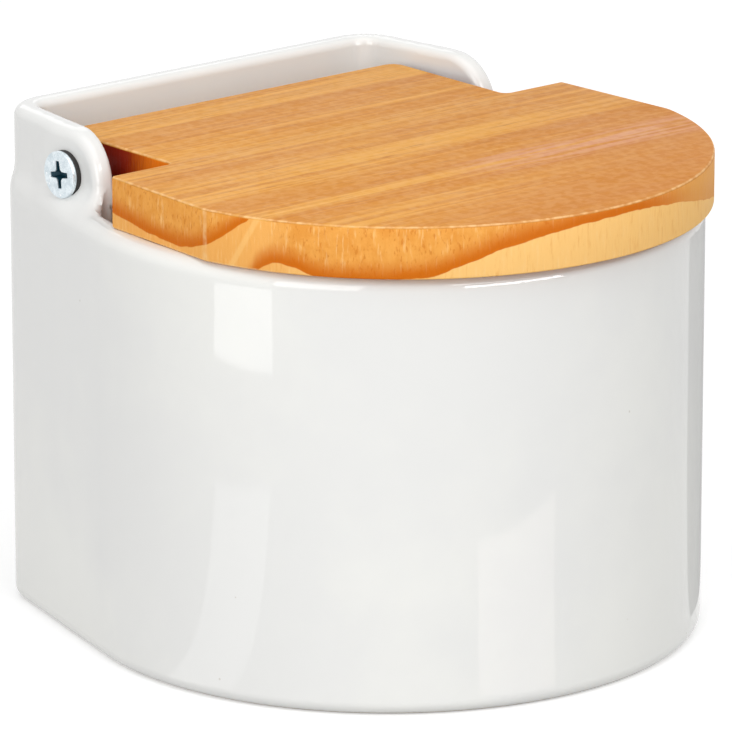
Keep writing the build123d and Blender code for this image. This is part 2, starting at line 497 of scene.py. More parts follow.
@dataclass(frozen=True)
class OiledPine:
    """Oiled pine: straight grain along X on top, wide rings that surface along the sawn edge.

    Lengths are millimetres and angles degrees round the lid's front, growing towards +X. A ring
    line is a list of (angle, height as a share of the board).
    """

    tan: Colour = srgb(229, 162, 66)
    honey: Colour = srgb(211, 136, 40)
    dark_band: Colour = srgb(196, 116, 32)
    light_band: Colour = srgb(238, 182, 100)
    deep: Colour = srgb(198, 118, 36)
    rose: Colour = srgb(216, 150, 116)
    line: Colour = srgb(182, 108, 46)
    # Pale of the rubbed edges and their painted highlight.
    pale: Colour = srgb(250, 208, 150)
    sap: Colour = srgb(246, 178, 94)
    wedge: Colour = srgb(254, 202, 124)
    amber: Colour = srgb(240, 168, 80)
    rust: Colour = srgb(228, 148, 58)
    fleck: Colour = srgb(206, 116, 34)
    gleam: Colour = srgb(255, 208, 138)
    late: Colour = srgb(210, 106, 2)
    umber: Colour = srgb(236, 170, 88)
    # Notch colours: stain with painted shade.
    notch_stain_and_shade: Colour = srgb(232, 120, 14)
    deep_notch_stain_and_shade: Colour = srgb(128, 26, 4)
    long_grain: Figure = Figure((0.014, 0.75, 0.75), detail=4.0, rough=0.62)
    fine_grain: Figure = Figure((0.05, 3.4, 3.4), (5.0, 2.0, 1.0), rough=0.6)
    dashes: Figure = Figure((0.11, 1.9, 1.9), (2.0, 7.0, 4.0), 2.0)
    broad: Figure = Figure((0.005, 0.085, 0.085), (1.0, 9.0, 2.0), 2.0)
    rosy: Figure = Figure((0.05, 0.8, 0.8), (4.0, 3.0, 8.0))
    strokes: Figure = Figure((1.7, 1.7, 0.22), rough=0.6)
    dots: Figure = Figure((1.9, 1.9, 0.8), (3.0, 6.0, 1.0), 2.0)
    left_ring: tuple[Point, ...] = (
        (-110, 0.36), (-103.6, 0.26), (-98.8, 0.2), (-94, 0.15), (-89, 0.12), (-84, 0.18), (-80.2, 0.27),
        (-77.4, 0.39), (-73.7, 0.63), (-71.4, 0.78), (-69.1, 0.95), (-64, 1.45), (110, 1.5),
    )
    front_ring: tuple[Point, ...] = (
        (-110, -0.5), (-72, -0.4), (-68, -0.05), (-65.5, 0.14), (-63.7, 0.19), (-61.3, 0.16),
        (-58.5, 0.07), (-55.5, -0.02), (-50, -0.05), (-44.7, -0.03), (-36.4, 0.04), (-31.5, 0.21),
        (-27, 0.37), (-22.5, 0.53), (-17.7, 0.62), (-12.8, 0.7), (-7.6, 0.77), (-2.1, 0.82), (4, 0.83),
        (10.9, 0.78), (19.3, 0.68), (38, 0.3), (60, -0.1), (110, -0.4),
    )
    ring_widths: Point = (4.0, 4.6)
    ring_reach: float = 110.0
    left_part_end: Point = (-67.0, -60.0)
    crease: float = -78.8
    stripe_lift: float = 117.5
    rosy_y: float = -26.0
    arc_y: float = -4.49
    tongue_half: float = 41.2
    top: float = 94.0
    bottom: float = 84.0

    def ring_height(self, sheet: FinishSheet, along: Socket, points: tuple[Point, ...]) -> Socket:
        """Return the height of a ring line at each place along the edge, from 0 to 1."""
        curve = sheet.node("ShaderNodeFloatCurve")
        line = curve.mapping.curves[0]
        places = [(0.5 + angle / (2 * self.ring_reach), 0.25 + share / 2.0) for angle, share in points]
        while len(line.points) < len(places):
            line.points.new(0.5, 0.5)
        for point, place in zip(line.points, places):
            point.location = place
        curve.mapping.update()
        sheet.plug(along, curve.inputs["Value"])
        board = self.top - self.bottom
        return sheet.plus(sheet.times(curve.outputs[0], 2.0 * board), self.bottom - 0.5 * board)

    def face_colour(self, sheet: FinishSheet, mm: Socket, long_grain: Socket, fine_grain: Socket) -> Socket:
        """Return the colour of the flat faces: straight grain, and a rosy streak on the top."""
        x, y, z = sheet.split(mm)
        colour = sheet.lay(
            self.tan,
            (sheet.figure(mm, self.broad), 0.4, 0.6, 1.0, self.honey),
            (long_grain, 0.42, 0.64, 0.65, self.dark_band),
            (long_grain, 0.42, 0.3, 0.45, self.light_band),
            (fine_grain, 0.56, 0.72, 0.24, self.line),
            (sheet.figure(mm, self.dashes), 0.62, 0.72, 0.6, self.line),
            (sheet.minus(sheet.times(x, 0.5), y), 12.0, 58.0, 0.75, self.deep),
        )
        streak = sheet.times(
            sheet.ramp(sheet.size(sheet.minus(y, self.rosy_y)), 2.0, 8.0, 1.0, 0.0),
            sheet.ramp(x, -12.0, 14.0),
            sheet.ramp(z, self.top - 1.5, self.top - 0.5),
            sheet.ramp(sheet.figure(mm, self.rosy), 0.4, 0.62),
            0.9,
        )
        return sheet.mix(streak, colour, self.rose)

    def edge_colour(
        self, sheet: FinishSheet, mm: Socket, turn: Socket, left_part: Socket, strokes: Socket
    ) -> Socket:
        """Return the colour of the sawn edge: end grain, two wide rings, and notch sides darkened by stain
        and painted shade.

        Args:
            sheet: the material.
            mm: coordinates in millimetres.
            turn: the angle round the front, in radians.
            left_part: 1 on the edge's left part, 0 elsewhere.
            strokes: short upright strokes of end grain, round 0.5.

        Returns:
            The colour.
        """
        x, y, z = sheet.split(mm)
        along = sheet.plus(sheet.times(turn, math.degrees(1.0) / (2 * self.ring_reach)), 0.5)
        wave = sheet.times(sheet.minus(sheet.noise(mm, 0.22, 2.0), 0.5), 1.1)
        height = sheet.plus(z, wave)
        rings, below = [], []
        for points, width in zip((self.left_ring, self.front_ring), self.ring_widths):
            above = sheet.minus(height, self.ring_height(sheet, along, points))
            over = sheet.ramp(above, -0.15, 0.12)
            rings.append(sheet.times(over, sheet.ramp(above, width * 0.1, width, 1.0, 0.0)))
            below.append(sheet.minus(1.0, over))
        under = sheet.most(sheet.times(below[0], left_part), below[1])

        colour = sheet.lay(
            self.amber,
            (sheet.noise(mm, 0.35, 3.0, 0.6), 0.36, 0.64, 0.6, self.rust),
            (sheet.figure(mm, self.dots), 0.56, 0.7, 0.55, self.fleck),
        )
        colour = sheet.mix(under, colour, sheet.lay(self.sap, (turn, -1.2, -0.9, 1.0, self.wedge)))
        colour = sheet.lay(
            colour,
            (strokes, 0.54, 0.74, 0.35, self.rust),
            (strokes, 0.46, 0.28, 0.6, self.gleam),
        )
        slant = sheet.minus(sheet.times(turn, 100.0), z)
        slant = sheet.size(sheet.plus(slant, self.top + self.stripe_lift))
        colour = sheet.mix(sheet.ramp(slant, 0.5, 1.6, 0.55, 0.0), colour, self.wedge)
        colour = sheet.mix(sheet.times(sheet.most(*rings), 0.95), colour, self.late)
        to_right = sheet.times(sheet.ramp(turn, 0.1, 0.5, 0.0, 0.8), sheet.minus(1.0, under))
        colour = sheet.mix(to_right, colour, self.umber)
        # Notch sides: stain with painted shade, darker and redder deeper in, where the ear shuts out light.
        beside = sheet.size(sheet.minus(sheet.size(x), self.tongue_half))
        notch_stain_and_shade_mask = sheet.times(sheet.ramp(beside, 0.5, 0.9, 1.0, 0.0), sheet.ramp(y, 12.8, 13.6))
        deep = sheet.plus(y, sheet.times(strokes, 5.0))
        return sheet.mix(notch_stain_and_shade_mask, colour, sheet.lay(self.notch_stain_and_shade, (deep, 19.0, 31.0, 1.0, self.deep_notch_stain_and_shade)))

    def rubbed_and_highlit_edges(
        self, sheet: FinishSheet, mm: Socket, turn: Socket, left_part: Socket, on_edge: Socket
    ) -> Socket:
        """Return where the wood is painted pale: eased edges and the corner of the round front, partly
        rubbed wood and partly painted highlight.
        """
        z = sheet.split(mm)[2]
        rough_line = sheet.ramp(sheet.noise(mm, 0.6, 3.0), 0.36, 0.64, 0.3, 0.8)
        eased = sheet.ramp(z, self.top - 0.5, self.top - 0.2)
        eased = sheet.times(eased, sheet.ramp(z, self.top - 0.12, self.top - 0.01, 1.0, 0.25))
        low_edge = sheet.ramp(z, self.bottom + 0.2, self.bottom + 0.5, 1.0, 0.0)
        low_edge = sheet.times(low_edge, on_edge, left_part)
        off_crease = sheet.size(sheet.minus(turn, math.radians(self.crease)))
        crease = sheet.times(sheet.ramp(off_crease, 0.004, 0.012, 0.6, 0.0), on_edge)
        return sheet.times(sheet.most(sheet.most(eased, low_edge), crease), rough_line)

    def make(self, effects: SharedEffects) -> bpy.types.Material:
        """Return the finished material."""
        sheet = FinishSheet("oiled_pine")
        mm = sheet.in_mm()
        x, y, z = sheet.split(mm)
        long_grain, fine_grain = sheet.figure(mm, self.long_grain), sheet.figure(mm, self.fine_grain)
        strokes = sheet.figure(mm, self.strokes)
        turn = sheet.math("ARCTAN2", x, sheet.minus(self.arc_y, y))
        left_part = sheet.ramp(turn, *(math.radians(angle) for angle in self.left_part_end), 1.0, 0.0)
        below_top = sheet.ramp(z, self.top - 0.6, self.top - 0.35, 1.0, 0.0)
        on_edge = sheet.times(below_top, sheet.ramp(z, self.bottom + 0.04, self.bottom + 0.16))

        face = self.face_colour(sheet, mm, long_grain, fine_grain)
        edge = self.edge_colour(sheet, mm, turn, left_part, strokes)
        colour = sheet.mix(on_edge, face, edge)
        # Pale edges: rubbed wood with a painted highlight.
        colour = sheet.mix(self.rubbed_and_highlit_edges(sheet, mm, turn, left_part, on_edge), colour, self.pale)
        relief = sheet.plus(sheet.times(fine_grain, 0.6), sheet.times(long_grain, 0.4))
        normal = sheet.bump(relief, 0.12 * MM, 0.5)
        mottle = sheet.effect(effects.mottle, Per_metre=60.0, Fine_share=0.4)
        return sheet.set(
            Base_Color=colour,
            Roughness=sheet.ramp(mottle, 0.3, 0.7, 0.46, 0.62),
            Normal=sheet.bump(sheet.times(strokes, below_top), 0.25 * MM, 0.5, normal),
            Specular_IOR_Level=0.08,
        )


@dataclass(frozen=True)
class ZincPlate:
    """Bright zinc plating on steel, slightly blue, with painted glints and painted shade in the cross of the
    head.
    """

    plate: Colour = srgb(232, 240, 244)
    dull: Colour = srgb(204, 216, 222)
    # Colour of the painted glints.
    grain: Colour = srgb(252, 253, 254)
    # Colour of the painted shade in the cross.
    painted_cross_shade: Colour = srgb(8, 58, 74)
    head_face: float = 2.0

    def make(self, effects: SharedEffects) -> bpy.types.Material:
        """Return the finished material."""
        sheet = FinishSheet("zinc_plate")
        mottle = sheet.effect(effects.mottle, Per_metre=700.0, Fine_share=0.5)
        # Bright specks in the plate are painted glints.
        painted_glints = sheet.effect(effects.specks_and_glints, Per_metre=1500.0, Spot_size=0.3, Share=0.07)
        colour = sheet.lay(self.dull, (mottle, 0.38, 0.62, 1.0, self.plate))
        colour = sheet.mix(sheet.times(painted_glints, 0.7), colour, self.grain)
        x, y, z = sheet.split(sheet.in_mm((0.0, HINGE.y, HINGE.z)))
        out = sheet.size(x)
        face_x = HINGE.ear_face + self.head_face
        square = sheet.plus(sheet.math("POWER", y, 2.0), sheet.math("POWER", z, 2.0))
        # Painted shade: darker and less metallic inside the cross, below the head's face.
        sunk = sheet.times(
            sheet.ramp(out, face_x - 0.3, face_x - 0.06, 1.0, 0.0),
            sheet.ramp(square, 8.4, 9.0, 1.0, 0.0),
            sheet.ramp(out, face_x - 2.1, face_x - 1.9),
        )
        return sheet.set(
            Base_Color=sheet.mix(sunk, colour, self.painted_cross_shade),
            Metallic=sheet.ramp(sunk, 0.0, 1.0, 0.7, 0.3),
            Roughness=sheet.ramp(mottle, 0.35, 0.65, 0.3, 0.48),
            Normal=sheet.bump(mottle, 0.06 * MM, 0.5),
        )


@dataclass(frozen=True)
class BlackRubber:
    """Moulded black rubber with a fine dusty bloom."""

    black: Colour = srgb(26, 23, 22)
    bloom: Colour = srgb(52, 46, 43)

    def make(self, effects: SharedEffects) -> bpy.types.Material:
        """Return the finished material."""
        sheet = FinishSheet("black_rubber")
        mottle = sheet.effect(effects.mottle, Per_metre=500.0, Fine_share=0.4)
        dust = sheet.effect(effects.specks_and_glints, Per_metre=3000.0, Spot_size=0.2, Share=0.2)
        colour = sheet.lay(self.black, (mottle, 0.4, 0.7, 0.6, self.bloom))
        return sheet.set(
            Base_Color=sheet.mix(sheet.times(dust, 0.3), colour, self.bloom),
            Roughness=sheet.ramp(mottle, 0.3, 0.7, 0.5, 0.75),
            Normal=sheet.bump(mottle, 0.05 * MM, 0.6),
        )


# ---------------------------------------------------------------------------------------------
# Shapes given by distance: a value below 0 is inside


def round_corner(first: np.ndarray, second: np.ndarray, radius: object) -> np.ndarray:
    """Return the overlap of two shapes, with the ridge where they cross rounded."""
    corner = np.hypot(np.maximum(radius + first, 0.0), np.maximum(radius + second, 0.0))
    return np.minimum(-radius, np.maximum(first, second)) + corner


def round_join(first: np.ndarray, second: np.ndarray, radius: object) -> np.ndarray:
    """Return the sum of two shapes, with the valley where they meet filled round."""
    corner = np.hypot(np.maximum(radius - first, 0.0), np.maximum(radius - second, 0.0))
    return np.maximum(radius, np.minimum(first, second)) - corner


def ease(value: np.ndarray, low: float, high: float) -> np.ndarray:
    """Return 0 below low and 1 above high, with a smooth rise between."""
    held = np.clip((value - low) / (high - low), 0.0, 1.0)
    return held * held * (3.0 - 2.0 * held)


# ---------------------------------------------------------------------------------------------
# Pieces


@dataclass
class Piece:
    """One finished piece: its object, the node it stands for, its body and its finish."""

    obj: Object
    node: str
    body: Body
    slot: Slot

    def settle(self) -> None:
        """Hand the piece to the frame in place of its CAD node."""
        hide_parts(self.node)
        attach(self.obj, self.body.value)
        triangles = sum(len(face.vertices) - 2 for face in self.obj.data.polygons)
        log.info("%s rides on %s, %d triangles", self.obj.name, self.body.value, triangles)


@dataclass
class GlazedBox:
    """The slip-cast box: round front, flaring sides, flat back, and two ears on an inner shelf."""

    radius: float = 60.0
    back: float = 60.4
    flare: float = math.radians(14.0)
    rear_corner: float = 11.0
    rim: float = 84.0
    top: float = 97.6
    wall: float = 5.0
    floor: float = 6.0
    shelf: float = 78.0
    ear_flare: float = math.radians(8.0)
    ear_corner: float = 9.0
    ear_front: float = 25.05
    nose: float = 10.0
    lip: float = 2.1
    lip_inner: float = 1.5
    rim_outer: float = 3.0
    rim_inner: float = 1.2
    foot: float = 2.5
    floor_corner: float = 4.0
    shelf_corner: float = 3.0
    crown: float = 3.9
    valley: float = 4.45
    melt: float = 2.1
    pad: float = 4.7
    pad_fade: float = 8.5
    rim_softens: float = 2.0
    melt_band: Point = (30.0, 48.0)
    join_band: Point = (3.5, 12.5)
    flush_deep: Point = (2.0, 6.0)
    flush_across: Point = (48.5, 52.0)
    under_lip: float = 1.4
    under_lip_reach: float = 3.0
    throat: float = 2.5
    foot_band: float = 3.5
    foot_reach: float = 45.0
    hole: float = 2.33
    sink: float = 3.5
    voxel: float = 1.4

    def flaring(
        self, across: np.ndarray, deep: np.ndarray, angle: float, reach: float, corner: float
    ) -> np.ndarray:
        """Return the plan distance to a side that opens towards the front, and to the back.

        Args:
            across: distance from the middle, never negative.
            deep: distance back from the upright axis.
            angle: how much the side opens.
            reach: the side's distance from the upright axis.
            corner: radius of the rear corner.

        Returns:
            The distance, below 0 inside.
        """
        sine, cosine = math.sin(angle), math.cos(angle)
        corner_y = self.back - corner
        corner_x = (reach - corner - corner_y * sine) / cosine
        along = (deep - corner_y) * cosine - (across - corner_x) * sine
        side = across * cosine + deep * sine - reach
        rounded = np.hypot(across - corner_x, deep - corner_y) - corner
        return np.where(along < 0, side, np.where(across > corner_x, rounded, deep - self.back))

    def outer(self, across: np.ndarray, deep: np.ndarray) -> np.ndarray:
        """Return the plan distance to the outside of the box below the rim."""
        sides = self.flaring(across, deep, self.flare, self.radius, self.rear_corner)
        ahead = deep * math.cos(self.flare) < across * math.sin(self.flare)
        return np.where(ahead, np.hypot(across, deep) - self.radius, sides)

    def upstand(self, across: np.ndarray, deep: np.ndarray) -> np.ndarray:
        """Return the plan distance to the outside of the ears and the back wall."""
        reach = HINGE.ear_face * math.cos(self.ear_flare) + HINGE.y * math.sin(self.ear_flare)
        return self.flaring(across, deep, self.ear_flare, reach, self.ear_corner)

    def ear_side(self, deep: np.ndarray, high: np.ndarray) -> np.ndarray:
        """Return the distance to an ear's outline, seen from the side."""
        nose_y, nose_z = self.ear_front + self.nose, self.top - self.nose
        nose = np.hypot(deep - nose_y, high - nose_z) - self.nose
        flat = np.maximum(self.ear_front - deep, high - self.top)
        return np.where((deep < nose_y) & (high > nose_z), nose, flat)

    def melted_step(
        self, outer: np.ndarray, upstand: np.ndarray, high: np.ndarray, soft: np.ndarray
    ) -> np.ndarray:
        """Return the distance to the soft S-shaped step between the box's side and an ear.

        Args:
            outer: plan distance to the box's side.
            upstand: plan distance to the ear's face.
            high: height.
            soft: how many times wider the step's two curves are than at the ear's front.

        Returns:
            The distance, below 0 inside.
        """
        crown, valley = self.crown * soft, self.valley * soft
        total = crown + valley
        ledge = np.clip(upstand - outer, 0.0, total)
        turn = np.arccos(1.0 - ledge / total)
        low = self.rim - crown * np.sin(turn)
        tall = self.rim + valley * np.sin(turn)
        inward = -outer
        past = (inward - crown) * np.sin(turn) + (high - low) * np.cos(turn)
        convex = np.hypot(inward - crown, high - low) - crown
        hollow = valley - np.hypot(inward - (ledge - valley), high - tall)
        lower = np.where(high < low, outer, convex)
        upper = np.where(high > tall, upstand, hollow)
        return np.where((past < 0) & (high < tall), lower, np.where(high < low, outer, upper))

    def shell(self, points: np.ndarray) -> np.ndarray:
        """Return the distance to the glazed surface at each point, in millimetres."""
        across, deep, high = np.abs(points[:, 0]), points[:, 1], points[:, 2]
        outer, upstand = self.outer(across, deep), self.upstand(across, deep)
        ear_side = self.ear_side(deep, high)

        off_hinge = np.hypot(deep - HINGE.y, high - HINGE.z)
        flat = 1.0 - ease(off_hinge, self.pad, self.pad + self.pad_fade)
        face = upstand * (1.0 - flat) + (across - HINGE.ear_face) * flat
        crown_share = ease(deep, self.rim_softens, self.ear_front)
        soft_rim = self.rim_outer + (self.crown - self.rim_outer) * crown_share
        body = round_corner(outer, high - self.rim, soft_rim)
        ear = round_corner(face, ear_side, self.lip)
        near_front = round_join(body, ear, self.valley)
        soft = 1.0 + (self.melt - 1.0) * ease(deep, *self.melt_band)
        behind = round_corner(self.melted_step(outer, face, high, soft), ear_side, self.lip)
        share = ease(deep - self.ear_front, *self.join_band)
        outside = near_front * (1.0 - share) + behind * share
        outside = round_corner(outside, -high, self.foot)

        inner, ear_inner = outer + self.wall, upstand + self.wall
        ahead = round_corner(inner, deep - self.ear_front, self.shelf_corner)
        mouth = round_join(ahead, np.maximum(ear_inner, -deep), self.lip_inner)
        flush = 1.0 - ease(np.abs(deep - self.ear_front), *self.flush_deep)
        flush *= 1.0 - ease(across, *self.flush_across)
        edge = np.maximum(self.rim_inner * (1.0 - flush), 1e-6)
        low_part = round_corner(outside, -mouth, edge)
        high_part = round_corner(outside, -ear_inner, self.lip_inner)
        high_part = np.maximum(high_part, round_corner(outside, -ahead, edge))
        opened = np.where(high > self.rim, high_part, low_part)

        hollow = round_corner(inner, self.floor - high, self.floor_corner)
        hollow = np.maximum(hollow, high - self.shelf)
        under_lip = self.under_lip * np.clip((mouth - inner) / self.under_lip_reach, 0.0, 1.0) + 1e-6
        throat = np.maximum(mouth, self.shelf - 1.0 - high)
        cavity = round_join(hollow, throat, under_lip)
        return np.where(high > self.shelf + self.throat, opened, np.maximum(outside, -cavity))

    def slope(self, points: np.ndarray) -> np.ndarray:
        """Return the direction in which the distance grows, unscaled, at each point."""
        reach = 0.02
        columns = []
        for axis in np.eye(3):
            ahead, behind = self.shell(points + axis * reach), self.shell(points - axis * reach)
            columns.append((ahead - behind) / (2.0 * reach))
        return np.stack(columns, axis=1)

    def settle_on_shell(self, points: np.ndarray, rounds: int) -> np.ndarray:
        """Move points onto the glazed surface by the shortest way."""
        least_steep, longest_move = 0.25, 0.8
        for _ in range(rounds):
            slope = self.slope(points)
            steep = np.maximum((slope * slope).sum(1), least_steep)
            move = (self.shell(points) / steep)[:, None] * slope
            length = np.maximum(np.linalg.norm(move, axis=1), 1e-9)
            points = points - move * np.minimum(1.0, longest_move / length)[:, None]
        return points

    def draw_points(self, bm: BMesh) -> np.ndarray:
        """Return a bmesh's points as an array."""
        return np.array([vert.co for vert in bm.verts], float).reshape(-1, 3)

    def place_points(self, bm: BMesh, points: np.ndarray) -> None:
        """Put an array of points back on a bmesh."""
        for vert, place in zip(bm.verts, points):
            vert.co = place

    def build(self) -> Object:
        """Cast the box: an even skin over the CAD shape, settled on the soft glazed surface."""
        bm = bmesh.new()
        bm.from_mesh(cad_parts["ceramic_body"].data)
        bmesh.ops.scale(bm, vec=(1 / MM, 1 / MM, 1 / MM), verts=bm.verts)
        bmesh.ops.remove_doubles(bm, verts=bm.verts, dist=1e-3)
        self.plug_holes(bm)
        mesh = bpy.data.meshes.new("box_skin")
        bm.to_mesh(mesh)
        bm.free()
        skin = bpy.data.objects.new("box_skin", mesh)
        bpy.context.scene.collection.objects.link(skin)
        remesh = skin.modifiers.new("even_skin", "REMESH")
        remesh.mode = "VOXEL"
        remesh.voxel_size = self.voxel
        even = evaluated_mesh(skin)
        bpy.data.objects.remove(skin)

        bm = bmesh.new()
        bm.from_mesh(even)
        self.place_points(bm, self.settle_on_shell(self.draw_points(bm), 6))
        fine = [f for f in bm.faces if self.needs_detail(f.calc_center_median())]
        edges = list({edge for face in fine for edge in face.edges})
        bmesh.ops.subdivide_edges(bm, edges=edges, cuts=1, use_grid_fill=True)
        for _ in range(4):
            bmesh.ops.smooth_vert(
                bm, verts=bm.verts, factor=0.5, use_axis_x=True, use_axis_y=True, use_axis_z=True
            )
            self.place_points(bm, self.settle_on_shell(self.draw_points(bm), 4))
        self.place_points(bm, self.settle_on_shell(self.draw_points(bm), 6))
        obj = finish_mesh(bm, "glazed_box", 60.0)
        boolean(obj, [self.screw_hole(side) for side in Side], Combine.CUT, 40.0)
        self.shade(obj.data)
        return obj

    def needs_detail(self, place: Vector) -> bool:
        """Say whether a face is on a rim, an ear or the foot, where curves are tight."""
        if place.z > self.shelf - 2.0:
            return True
        return place.z < self.foot_band and math.hypot(place.x, place.y) > self.foot_reach

    def plug_holes(self, bm: BMesh) -> None:
        """Fill the screw holes for now, so that the skin runs straight over them."""
        for side in Side:
            centre = HINGE.centre(side, -self.wall / 2)
            turn = Matrix.Rotation(QUARTER_TURN, 4, "Y")
            bmesh.ops.create_cone(
                bm,
                cap_ends=True,
                segments=24,
                radius1=self.sink + 0.6,
                radius2=self.sink + 0.6,
                depth=self.wall - 0.02,
                matrix=Matrix.Translation(centre) @ turn,
            )

    def screw_hole(self, side: Side) -> Object:
        """Return the countersunk hole through one ear, as a cutter."""
        profile = [
            (0.0, -self.wall - 2.0),
            (self.hole, -self.wall - 2.0),
            (self.hole, self.hole - self.sink),
            (self.sink + 1.0, 1.0),
            (0.0, 1.0),
        ]
        bm = lathe(profile, HINGE.centre(side), HINGE.axis(side), 48)
        return finish_mesh(bm, f"hole_{side.word}")

    def shade(self, mesh: bpy.types.Mesh) -> None:
        """Give the skin the glazed surface's own normals, and leave the holes' as they are."""
        point_near, face_near, same_way = 0.05, 0.12, 0.8
        points = read_rows(mesh.vertices, "co").astype(float) / MM
        slope = self.slope(points)
        slope /= np.maximum(np.linalg.norm(slope, axis=1), 1e-9)[:, None]
        centres = read_rows(mesh.polygons, "center").astype(float) / MM
        corners = read_rows(mesh.corner_normals, "vector")
        verts = read_rows(mesh.loops, "vertex_index", 1, np.int32)[:, 0]
        totals = read_rows(mesh.polygons, "loop_total", 1, np.int32)[:, 0]
        owner = np.repeat(np.arange(len(totals)), totals)
        on_skin = np.abs(self.shell(points)) < point_near
        face_on_skin = np.abs(self.shell(centres)) < face_near
        agree = (read_rows(mesh.polygons, "normal")[owner] * slope[verts]).sum(1) > same_way
        use = on_skin[verts] & agree & face_on_skin[owner]
        corners[use] = slope[verts][use]
        mesh.normals_split_custom_set(corners.tolist())

    def make(self, effects: SharedEffects) -> Piece:
        """Build and dress the box."""
        obj = self.build()
        obj.data.materials.append(WhiteGlaze().make(effects))
        return Piece(obj, "ceramic_body", Body.BOX, Slot.CERAMIC)


@dataclass
class PineLid:
    """The lid: a D-shaped board with a narrower tongue that turns between the ears."""

    bottom: float = 84.0
    thickness: float = 10.0
    front: float = -63.0
    crease_half: float = 57.4
    crease_y: float = -15.85
    shoulder_half: float = 55.9
    shoulder_y: float = 13.4
    tongue_half: float = 41.187
    tongue_rear: float = 46.4
    tongue_corner: float = 3.0
    notch_corner: float = 1.5
    crease_ease: float = 0.8
    eased: float = 0.5
    arc_steps: int = 96

    def outline(self, bm: BMesh) -> None:
        """Draw the lid's outline: straight edges from listed points and the front by a spin."""
        half = [
            (self.crease_half, self.crease_y),
            (self.shoulder_half, self.shoulder_y),
            (self.tongue_half, self.shoulder_y),
            (self.tongue_half, self.tongue_rear),
        ]
        places = half + [(-x, y) for x, y in reversed(half)]
        verts = [bm.verts.new((x, y, self.bottom)) for x, y in places]
        for pair in zip(verts, verts[1:]):
            bm.edges.new(pair)
        drop = self.crease_y - self.front
        radius = (self.crease_half**2 + drop**2) / (2.0 * drop)
        centre_y = self.front + radius
        sweep = 2.0 * math.atan2(self.crease_half, centre_y - self.crease_y)
        bmesh.ops.spin(
            bm,
            geom=[verts[-1]],
            cent=(0.0, centre_y, self.bottom),
            axis=(0.0, 0.0, 1.0),
            angle=sweep,
            steps=self.arc_steps,
        )
        bmesh.ops.remove_doubles(bm, verts=bm.verts, dist=1e-2)

    def upright_at(self, bm: BMesh, x: float, y: float) -> list[bmesh.types.BMEdge]:
        """Return the two upright edges at a corner of the outline and at its mirror image."""
        found = []
        for edge in bm.edges:
            first, second = edge.verts[0].co, edge.verts[1].co
            upright = abs(first.z - second.z) > self.thickness / 2
            if upright and abs(abs(first.x) - x) < 0.05 and abs(first.y - y) < 0.05:
                found.append(edge)
        return found

    def ease_edges(
        self, bm: BMesh, edges: list[bmesh.types.BMEdge], offset: float, segments: int
    ) -> None:
        """Round a set of edges."""
        bmesh.ops.bevel(
            bm,
            geom=edges,
            offset=offset,
            offset_type="OFFSET",
            segments=segments,
            profile=0.5,
            affect="EDGES",
            material=-1,
        )

    def build(self) -> Object:
        """Saw the board, round its corners and ease its edges."""
        bm = bmesh.new()
        self.outline(bm)
        board = bmesh.ops.contextual_create(bm, geom=bm.edges[:])["faces"]
        raised = bmesh.ops.extrude_face_region(bm, geom=board)["geom"]
        tops = [item for item in raised if isinstance(item, bmesh.types.BMVert)]
        bmesh.ops.translate(bm, vec=(0.0, 0.0, self.thickness), verts=tops)
        corners = (
            (self.tongue_half, self.tongue_rear, self.tongue_corner, 8),
            (self.tongue_half, self.shoulder_y, self.notch_corner, 5),
            (self.crease_half, self.crease_y, self.crease_ease, 2),
            (self.shoulder_half, self.shoulder_y, self.eased, 3),
        )
        for x, y, radius, segments in corners:
            self.ease_edges(bm, self.upright_at(bm, x, y), radius, segments)
        level = [edge for edge in bm.edges if abs(edge.verts[0].co.z - edge.verts[1].co.z) < 1e-4]
        self.ease_edges(bm, level, self.eased, 3)
        return finish_mesh(bm, "lid_board", 20.0)

    def make(self, effects: SharedEffects, screws: "HingeScrews") -> Piece:
        """Build and dress the lid, with the holes that the screws cut in it."""
        obj = self.build()
        boolean(obj, [screws.thread(side, screws.wood_gap) for side in Side], Combine.CUT, 20.0)
        obj.data.materials.append(OiledPine().make(effects))
        return Piece(obj, "lid", Body.LID, Slot.PINE)


